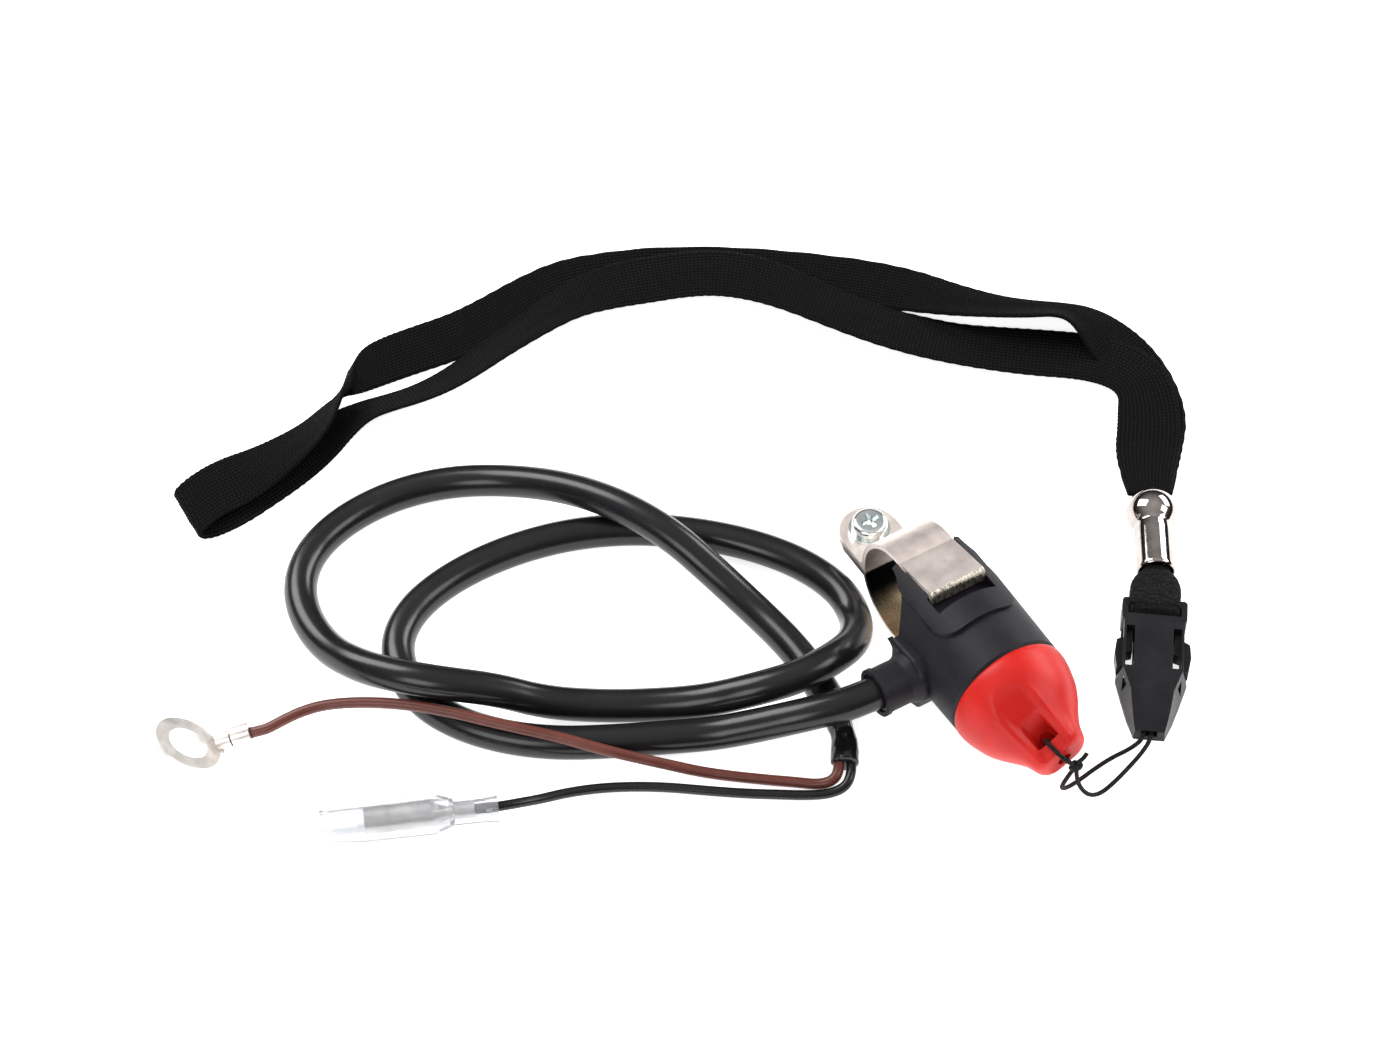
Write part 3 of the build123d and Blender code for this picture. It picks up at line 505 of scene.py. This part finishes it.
NODE_MATERIAL = {
    "housing": "housing", "upper_clamp_band": "band", "lower_clamp_band": "band_low_painted_shade", "screw_washer": "zinc",
    "clamp_screw": "zinc", "clamp_nut": "zinc", "contact_carrier": "inner", "brown_terminal": "brass",
    "black_terminal": "brass", "plunger": "inner", "contact_bridge": "brass", "plunger_spring": "spring",
    "brown_inner_lead": "brown", "black_inner_lead": "black_wire", "cable_grommet": "cable",
    "ring_terminal": "tin", "bullet_receptacle": "tin", "connector_sleeve": "clear",
    "buckle_socket": "buckle", "buckle_plug": "buckle", "webbing_loop": "webbing", "ferrule": "nickel",
}
for node, key in NODE_MATERIAL.items():
    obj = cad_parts[node]
    obj = obj if isinstance(obj, bpy.types.Object) else bpy.data.objects[node]
    if not obj.material_slots:
        obj.data.materials.append(M[key].m)
    for s in obj.material_slots:
        s.material = M[key].m

# ---- camera -----------------------------------------------------------------------
right = Vector((0.51504, 0.85717, 0.0))
up = Vector((-0.65663, 0.39454, 0.64279))
forward = Vector((-0.55098, 0.33106, -0.76604))
cam_data = bpy.data.cameras.new("camera")
cam_data.lens = 85
cam_data.sensor_width = 36
cam_data.clip_start, cam_data.clip_end = 0.02, 20
cam = bpy.data.objects.new("camera", cam_data)
bpy.context.scene.collection.objects.link(cam)
from mathutils import Matrix
cam.matrix_world = Matrix((
    (right.x, up.x, -forward.x, 0.3354),
    (right.y, up.y, -forward.y, -0.2534),
    (right.z, up.z, -forward.z, 0.5173),
    (0, 0, 0, 1)))
bpy.context.scene.camera = cam

# ---- cable ------------------------------------------------------------------------
cable_path = spline_path(CABLE_ROUTE, 10)


def cable_shape(s, a):
    return 0.0034 + 0.00003 * noise.noise(Vector((s * 60, math.cos(a), math.sin(a))))


cable = tube("cable_jacket", cable_path, 0.0034, M["cable"].m, 32, cable_shape)
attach(cable, "switch")
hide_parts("cable")

# ---- shrunk end sleeve: a wrinkled tube, pinched where the wires leave ---------------
sleeve_path = spline_path(END_SLEEVE_ROUTE, 60)


def sleeve_shape(s, a):
    t = s / 0.0143
    folds = (noise.noise(Vector((s * 260, math.cos(a) * 1.5, math.sin(a) * 1.5)))
             + 0.45 * noise.noise(Vector((s * 560, math.cos(a) * 2.6, math.sin(a) * 2.6 + 7))))
    swell = 1.02 - 0.10 * smooth(0.0, 0.25, t) * (1 - smooth(0.55, 0.95, t)) - 0.10 * smooth(0.8, 1.0, t)
    ridge = 0.00016 * max(0.0, math.cos(a * 2 + s * 190)) ** 4
    return 0.0029 * swell + 0.00030 * folds * smooth(0, 0.12, t) - 0.0001 + ridge


end_sleeve = tube("shrunk_end_sleeve", sleeve_path, 0.0029, M["wrap"].m, 56, sleeve_shape)
for v in end_sleeve.data.vertices:
    v.co.z = max(v.co.z, FLOOR_Z)
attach(end_sleeve, "switch")
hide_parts("cable_end_sleeve")

# ---- the two wires ----------------------------------------------------------------------
brown_path = spline_path(BROWN_ROUTE, 10)
brown = tube("brown_lead", brown_path, 0.0011, M["brown"].m, 20,
             lambda s, a: 0.0011 + 0.000018 * noise.noise(Vector((s * 160, math.cos(a), math.sin(a)))))
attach(brown, "switch")
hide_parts("brown_wire")
black_path = spline_path(BLACK_ROUTE, 10)
black = tube("black_lead", black_path, 0.0010, M["black_wire"].m, 20)
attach(black, "switch")
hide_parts("black_wire")

# ---- tether cord: out of the buckle, round the cap's bridge and back -------------------------
tether_path = spline_path(TETHER_A + TETHER_LOOP + TETHER_B[::-1], 12)
tether = tube("tether_line", tether_path, 0.00045, M["cord"].m, 14)
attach(tether, "tether")
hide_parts("tether_cord")
# the knot, an overhand turn with a short tail
KNOT = Vector((0.0519, 0.0015, -0.0010))
knot_points = []
for i in range(97):
    a = 2 * math.pi * i / 96
    x = (math.sin(a) + 2 * math.sin(2 * a)) * 0.00031
    y = (math.cos(a) - 2 * math.cos(2 * a)) * 0.00031
    z = -math.sin(3 * a) * 0.00045
    knot_points.append(KNOT + Vector((x * 0.9 + z * 0.3, y, z * 1.2 + x * 0.3)))
knot = tube("tether_knot", knot_points, 0.00052, M["cord"].m, 12)
tail_path = spline_path([(0.0519, 0.0012, -0.0004), (0.0524, 0.0020, 0.0008), (0.0525, 0.0029, 0.0016), (0.0522, 0.0036, 0.0019)], 8)
tail = tube("tether_tail", tail_path, 0.00045, M["cord"].m, 12)
for piece in (knot, tail):
    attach(piece, "tether")
    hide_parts("tether_cord")

# ---- wrist strap: one knitted tape, folded at its far end -----------------------------------
TAPE_T = 0.0010
STEPS = 10
edge_a = spline_path(TAPE_EDGE_A, STEPS)
edge_b = spline_path(TAPE_EDGE_B, STEPS)
tape_path = [(a + b) / 2 for a, b in zip(edge_a, edge_b)]


def build_tape():
    count = len(tape_path)
    side = [(b - a) for a, b in zip(edge_a, edge_b)]
    tang = [(tape_path[min(count - 1, i + 1)] - tape_path[max(0, i - 1)]).normalized() for i in range(count)]
    normal = [w.cross(t).normalized() for w, t in zip(side, tang)]
    TOP, EDGE = 46, 5
    section = []          # (across -0.5..0.5, height -1..1)
    for i in range(TOP + 1):
        section.append((-0.5 + i / TOP, 1.0))
    for i in range(1, EDGE):
        a = math.pi * i / EDGE
        section.append((0.5 + 0.018 * math.sin(a), math.cos(a)))
    for i in range(TOP + 1):
        section.append((0.5 - i / TOP, -1.0))
    for i in range(1, EDGE):
        a = math.pi * i / EDGE
        section.append((-0.5 - 0.018 * math.sin(a), -math.cos(a)))
    n = len(section)
    verts, lay, faces = [], [], []
    s = 0.0
    for i in range(count):
        if i:
            s += (tape_path[i] - tape_path[i - 1]).length
        w = side[i].length
        wobble = 0.5 + 0.5 * noise.noise(Vector((s * 40, 3.3, 0.0)))
        for u, h in section:
            c = max(-0.5, min(0.5, u))
            rib = 0.00007 * math.cos(2 * math.pi * RIBS * c)
            edge = smooth(0.40, 0.5, abs(c))
            half = TAPE_T / 2 * (0.94 + 0.0 * edge) + rib * (1 - edge) + 0.00005 * edge
            half -= 0.00022 * smooth(0.46, 0.5, abs(c))
            scallop = 0.00009 * math.sin(2 * math.pi * s / 0.0013 + (1.0 if u > 0 else 0.0)) * edge
            ripple = 0.00012 * noise.noise(Vector((s * 70, c * 5, 1.7)))
            verts.append(tape_path[i] + side[i] * u + side[i].normalized() * (scallop if u > 0 else -scallop)
                         + normal[i] * (h * half + ripple))
            lay.append((s, c, h))
        # rings are joined as they come
    for i in range(count - 1):
        a, b = i * n, (i + 1) * n
        for k in range(n):
            k1 = (k + 1) % n
            faces.append((a + k, b + k, b + k1, a + k1))
    faces.append(tuple(range(n)))
    faces.append(tuple(reversed(range((count - 1) * n, count * n))))
    obj = new_object("knitted_strap", verts, faces, M["tape"].m)
    add_lay(obj, lay)
    return obj


strap = build_tape()
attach(strap, "lanyard")
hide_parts("wrist_strap")

# ---- folded webbing: over the plug's rail and into the ferrule -----------------------------------
WEB = [(28.15, 4.8, 2.9, 4.1), (28.3, 5.0, 1.9, 5.2), (28.8, 5.15, 1.4, 6.0), (29.4, 5.2, 1.3, 6.4), (29.9, 5.2, 1.4, 6.6),
       (29.97, 5.2, 5.42, 6.65), (31.0, 5.2, 5.42, 6.85), (31.93, 5.2, 5.42, 6.95), (32.0, 5.25, 0.9, 7.0), (33.0, 5.32, 1.0, 7.1),
       (34.2, 5.32, 1.5, 7.25), (35.4, 5.15, 2.1, 7.4), (36.4, 4.75, 2.6, 7.5), (37.2, 4.15, 2.9, 7.6), (37.9, 3.5, 3.0, 7.6),
       (38.4, 3.0, 3.1, 7.5), (39.5, 2.7, 3.3, 7.3), (39.9, 1.4, 4.5, 6.2)]
NOSE = Vector((0.0471, 0.0239, FLOOR_Z))
ALONG = Vector((-0.793, 0.610, 0.0)).normalized()
ACROSS = Vector((0.610, 0.793, 0.0)).normalized()


def build_webbing():
    SEG = 112
    stations = []
    for (s0, w0, l0, h0), (s1, w1, l1, h1) in zip(WEB, WEB[1:]):
        n = max(1, int((s1 - s0) / 0.13))
        for i in range(n):
            t = i / n
            stations.append((lerp(s0, s1, t), lerp(w0, w1, t), lerp(l0, l1, t), lerp(h0, h1, t)))
    stations.append(WEB[-1])
    verts, faces = [], []
    for s, w, lo, hi in stations:
        for k in range(SEG):
            a = 2 * math.pi * k / SEG
            c, d = math.cos(a), math.sin(a)
            u = math.copysign(abs(c) ** 0.55, c) * w
            v = (lo + hi) / 2 + math.copysign(abs(d) ** 0.55, d) * (hi - lo) / 2
            p = NOSE + ALONG * (s * 0.001) + ACROSS * (u * 0.001) + Vector((0, 0, v * 0.001))
            fuzz = 0.00010 * noise.noise(p * 1500) + 0.00006 * noise.noise(p * 3600) + 0.00012 * noise.noise(p * 420)
            out = (ACROSS * (c / w) + Vector((0, 0, d / max(0.5, (hi - lo) / 2)))).normalized()
            verts.append(p + out * (fuzz - 0.00012))
    n = len(stations)
    for i in range(n - 1):
        for k in range(SEG):
            k1 = (k + 1) % SEG
            faces.append((i * SEG + k, i * SEG + k1, (i + 1) * SEG + k1, (i + 1) * SEG + k))
    faces.append(tuple(reversed(range(SEG))))
    faces.append(tuple(range((n - 1) * SEG, n * SEG)))
    obj = new_object("felted_loop", verts, faces, M["webbing"].m)
    bm = bmesh.new()
    bm.from_mesh(obj.data)
    face_out(bm)
    bm.to_mesh(obj.data)
    bm.free()
    return obj


webbing = build_webbing()
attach(webbing, "lanyard")
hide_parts("webbing_loop")

# ---- ferrule: a ball on a hollow tube with a rounded lip at its mouth -------------------------------
FER_BALL = Vector((0.0030, 0.0562, FLOOR_Z + 0.0054))
FER_END = Vector((0.0163, 0.0475, FLOOR_Z + 0.0054))


def build_ferrule():
    d = (FER_END - FER_BALL).normalized()
    long = (FER_END - FER_BALL).length * 1000
    n = Vector((0, 0, 1))
    b = d.cross(n)
    SEG = 96
    profile = []
    for i in range(0, 33):
        a = math.pi * (0.02 + 0.98 * i / 32)
        x, r = -5.4 * math.cos(a), 5.4 * math.sin(a)
        if x > 0 and r < 4.25:
            break
        profile.append((x, r))
    profile += [(3.62, 4.02), (3.85, 3.93), (4.3, 4.0), (6.0, 4.0), (9.0, 4.0), (12.0, 4.0), (long - 1.1, 4.0), (long - 0.7, 4.0),
                (long - 0.4, 3.97), (long - 0.12, 3.85), (long, 3.7), (long - 0.05, 3.5), (long - 0.4, 3.38), (long - 2.0, 3.35), (7.0, 3.35), (7.0, 0.4)]
    verts, faces = [], []
    for x, r in profile:
        for k in range(SEG):
            a = 2 * math.pi * k / SEG
            verts.append(FER_BALL + d * (x * 0.001) + (n * math.cos(a) + b * math.sin(a)) * (r * 0.001))
    for i in range(len(profile) - 1):
        for k in range(SEG):
            k1 = (k + 1) % SEG
            faces.append((i * SEG + k, i * SEG + k1, (i + 1) * SEG + k1, (i + 1) * SEG + k))
    faces.append(tuple(reversed(range(SEG))))
    faces.append(tuple(range((len(profile) - 1) * SEG, len(profile) * SEG)))
    obj = new_object("nickel_ferrule", verts, faces, M["nickel"].m, True, 50)
    # slot in the ball where the tape comes out
    sx = [(-8, -1), (-3.4, -1), (-3.4, 1), (-8, 1)]
    sv = []
    for yy in (-4.4, 4.4):
        for x, z in sx:
            sv.append(FER_BALL + d * (x * 0.001) + b * (yy * 0.001) + n * (z * 1.4 * 0.001))
    cutter = new_object("slot_cutter", sv, [(0, 1, 2, 3), (7, 6, 5, 4), (0, 4, 5, 1), (1, 5, 6, 2), (2, 6, 7, 3), (3, 7, 4, 0)], M["nickel"].m, False)
    for o in (cutter, obj):
        bm = bmesh.new()
        bm.from_mesh(o.data)
        face_out(bm)
        bm.to_mesh(o.data)
        bm.free()
    mod = obj.modifiers.new("slot", "BOOLEAN")
    mod.operation = "DIFFERENCE"
    mod.solver = "EXACT"
    mod.object = cutter
    mesh = bpy.data.meshes.new_from_object(obj.evaluated_get(bpy.context.evaluated_depsgraph_get()))
    obj.modifiers.clear()
    obj.data = mesh
    for p in mesh.polygons:
        p.use_smooth = True
    mesh.set_sharp_from_angle(angle=math.radians(50))
    bpy.data.objects.remove(cutter)
    return obj


ferrule = build_ferrule()
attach(ferrule, "lanyard")
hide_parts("ferrule")

# ---- pull cap -----------------------------------------------------------------------------------
DOME = [(30.5, 12.25), (31.0, 12.6), (32.2, 12.7), (33.8, 12.5), (35.6, 12.05), (37.6, 11.3), (39.6, 10.3), (41.6, 9.0),
        (43.6, 7.5), (45.5, 6.0), (47.2, 4.7), (48.6, 3.6), (49.8, 2.4)]
SNOUT_Y = [(34.0, 8.8), (38.0, 8.0), (41.0, 7.2), (44.0, 6.5), (47.0, 6.0), (49.8, 5.5)]
SNOUT_Z = [(34.0, 6.0), (38.0, 5.6), (42.0, 5.0), (46.0, 4.6), (49.8, 4.2)]
HALF_W = [(34.0, 3.0), (36.5, 3.6), (39.0, 3.8), (42.0, 3.7), (45.0, 3.5), (48.0, 3.3), (50.0, 3.2)]
FLOOR_LINE = [(33.5, 13.2), (35.5, 11.9), (37.5, 10.6), (39.5, 9.0), (41.5, 7.3), (43.5, 5.6), (45.5, 4.2), (47.5, 3.3), (50.0, 2.8)]
CAP_ROLL = math.radians(30)


def cap_point(x, ang):
    """Outer surface in millimetres before the cap is turned; ang runs from +Z towards +Y."""
    cy, cz = math.sin(ang), math.cos(ang)
    dome = table_value(DOME, x)
    a, b = table_value(SNOUT_Y, x), table_value(SNOUT_Z, x)
    p = 2.9
    snout = (abs(cy / a) ** p + abs(cz / b) ** p) ** (-1 / p)
    q = 7.0
    r = (dome ** q + (snout * smooth(32.5, 38, x)) ** q) ** (1 / q)
    if x > 47.8:
        t = (x - 47.8) / 2.0
        r -= 2.1 * (1 - math.sqrt(max(0.0, 1 - t * t)))
    y, z = r * cy, r * cz
    if z > 0:
        hw = table_value(HALF_W, x)
        floor = table_value(FLOOR_LINE, x) + 0.012 * y * y
        u = abs(y) / hw
        keep = smooth(0.66, 1.22, u)
        cut = max(0.0, z - floor)
        z -= cut * (1 - keep) * smooth(34.0, 37.0, x)
        z += math.exp(-((u - 1.20) / 0.13) ** 2) * 0.14 * smooth(36.5, 40, x) * (1 - smooth(48.2, 49.2, x))
        pit = floor - 3.6 * smooth(40.8, 45.3, x) * (1 - smooth(46.45, 46.95, x))
        if z > pit:
            inside = 1 - smooth(0.66, 1.0, abs(y) / 2.6)
            z -= (z - pit) * inside
    return y, z


def build_cap():
    SEG = 240
    xs = []
    x = 30.54
    while x < 40.0:
        xs.append(x)
        x += 0.22
    while x < 48.4:
        xs.append(x)
        x += 0.13
    xs += [48.4, 48.6, 48.8, 49.0, 49.2, 49.35, 49.5, 49.6, 49.68, 49.74, 49.78, 49.8]
    verts, faces, rings = [], [], []
    cr, sr = math.cos(CAP_ROLL), math.sin(CAP_ROLL)

    def ring(points):
        base = len(verts)
        verts.extend(Vector((px, y * cr - z * sr, y * sr + z * cr)) * 0.001 for px, y, z in points)
        rings.append(list(range(base, base + SEG)))

    # inside first: pin, hollow, spigot, mouth, then the outer skin to the nose
    for px, pr in ((28.5, 0.6), (28.5, 2.3), (28.5, 2.4), (28.6, 2.4), (34.0, 2.4), (38.9, 2.4), (39.1, 2.5), (39.1, 5.0),
                   (38.9, 5.2), (36.5, 7.3), (33.5, 8.4), (33.3, 8.5), (28.7, 8.5), (28.5, 8.6), (28.5, 9.85), (28.65, 9.95),
                   (30.1, 9.95), (30.48, 10.0), (30.5, 10.1), (30.5, 12.0), (30.51, 12.15)):
        ring([(px, pr * math.sin(2 * math.pi * k / SEG), pr * math.cos(2 * math.pi * k / SEG)) for k in range(SEG)])
    for px in xs:
        pts = []
        for k in range(SEG):
            y, z = cap_point(px, 2 * math.pi * k / SEG)
            pts.append((px, y, z))
        ring(pts)
    # the blunt nose closes with shrinking rings
    last = [cap_point(49.8, 2 * math.pi * k / SEG) for k in range(SEG)]
    for f in (0.93, 0.8, 0.6, 0.35, 0.12):
        ring([(49.8 + 0.04 * (1 - f), y * f, z * f) for y, z in last])
    for a, b in zip(rings, rings[1:]):
        for k in range(SEG):
            k1 = (k + 1) % SEG
            faces.append((a[k], a[k1], b[k1], b[k]))
    faces.append(tuple(reversed(rings[0])))
    faces.append(tuple(rings[-1]))
    obj = new_object("pull_cap_skin", verts, faces, M["cap"].m, True, 40)
    # tunnel for the cord, under the bridge
    local = spline_path([(0.0450, 0, 0.0050), (0.0450, 0, 0.0020), (0.0454, 0, -0.0002), (0.0464, 0, -0.0005),
                         (0.0500, 0, -0.0005), (0.0530, 0, -0.0005)], 10)
    route = [Vector((p.x, p.y * cr - p.z * sr, p.y * sr + p.z * cr)) for p in local]
    fr = frames_along(route, Vector((0, cr, sr)))
    tv, tf, S = [], [], 28
    for p, (t, n, b) in zip(route, fr):
        for k in range(S):
            a = 2 * math.pi * k / S
            c, d = math.cos(a), math.sin(a)
            tv.append(p + n * (math.copysign(abs(c) ** 0.8, c) * 0.00150) + b * (math.copysign(abs(d) ** 0.8, d) * 0.00105))
    for i in range(len(route) - 1):
        for k in range(S):
            k1 = (k + 1) % S
            tf.append((i * S + k, i * S + k1, (i + 1) * S + k1, (i + 1) * S + k))
    tf.append(tuple(reversed(range(S))))
    tf.append(tuple(range((len(route) - 1) * S, len(route) * S)))
    cutter = new_object("cutter", tv, tf, M["cap"].m)
    for o in (cutter, obj):
        bm = bmesh.new()
        bm.from_mesh(o.data)
        face_out(bm)
        bm.to_mesh(o.data)
        bm.free()
    mod = obj.modifiers.new("tunnel", "BOOLEAN")
    mod.operation = "DIFFERENCE"
    mod.solver = "MANIFOLD"
    mod.object = cutter
    dg = bpy.context.evaluated_depsgraph_get()
    mesh = bpy.data.meshes.new_from_object(obj.evaluated_get(dg))
    obj.modifiers.clear()
    obj.data = mesh
    for p in mesh.polygons:
        p.use_smooth = True
    mesh.set_sharp_from_angle(angle=math.radians(40))
    bpy.data.objects.remove(cutter)
    return obj


cap = build_cap()
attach(cap, "tether")
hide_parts("pull_cap")

# ---- floor, lights, surroundings ---------------------------------------------------------------
floor_mesh = bpy.data.meshes.new("floor")
floor_mesh.from_pydata([(-3, -3, FLOOR_Z), (3, -3, FLOOR_Z), (3, 3, FLOOR_Z), (-3, 3, FLOOR_Z)], [], [(0, 1, 2, 3)])
floor = bpy.data.objects.new("floor", floor_mesh)
bpy.context.scene.collection.objects.link(floor)
k = Mat("pale_floor")
k.link(k.ramp(k.noise(3, 2, 0.5), [(0.3, (0.93, 0.93, 0.93)), (0.7, (0.96, 0.96, 0.96))]), "Base Color")
k.set(Roughness=0.9, Specular_IOR_Level=0.0, Emission_Color=(1, 1, 1, 1), Emission_Strength=0.80)
floor_mesh.materials.append(k.m)

world = bpy.data.worlds.new("studio")
bpy.context.scene.world = world
world.use_nodes = True
nt = world.node_tree
nt.nodes.clear()
wo = nt.nodes.new("ShaderNodeOutputWorld")
bg = nt.nodes.new("ShaderNodeBackground")
tc = nt.nodes.new("ShaderNodeTexCoord")
sep = nt.nodes.new("ShaderNodeSeparateXYZ")
rp = nt.nodes.new("ShaderNodeValToRGB")
nt.links.new(tc.outputs["Generated"], sep.inputs[0])
nt.links.new(sep.outputs[2], rp.inputs[0])
for pos, v in ((0.0, 0.02), (0.26, 0.05), (0.50, 0.20), (0.80, 0.50), (1.0, 0.70)):
    e = rp.color_ramp.elements.new(pos) if pos not in (0.0, 1.0) else rp.color_ramp.elements[0 if pos == 0 else -1]
    e.color = (v, v, v, 1)
nt.links.new(rp.outputs[0], bg.inputs[0])
bg.inputs[1].default_value = 1.0
nt.links.new(bg.outputs[0], wo.inputs[0])


def area(name, loc, target, size, size_y, power):
    d = bpy.data.lights.new(name, "AREA")
    d.shape = "RECTANGLE"
    d.size, d.size_y = size, size_y
    d.energy = power
    o = bpy.data.objects.new(name, d)
    o.location = loc
    o.rotation_mode = "QUATERNION"
    o.rotation_quaternion = (Vector(target) - Vector(loc)).to_track_quat("-Z", "Y")
    bpy.context.scene.collection.objects.link(o)
    return o


mid = (-0.03, -0.03, 0.0)
area("key_light", (-0.75, -0.35, 0.75), mid, 0.55, 0.8, 11.0)
area("back_light", (-0.10, 0.95, 0.55), mid, 0.8, 0.4, 8.0)
area("side_light", (0.55, 0.65, 0.75), mid, 0.5, 0.5, 4.0)
area("front_light", (0.45, -0.85, 0.6), mid, 0.5, 0.5, 3.8)

bpy.context.scene.view_settings.view_transform = "Standard"
bpy.context.scene.view_settings.look = "None"
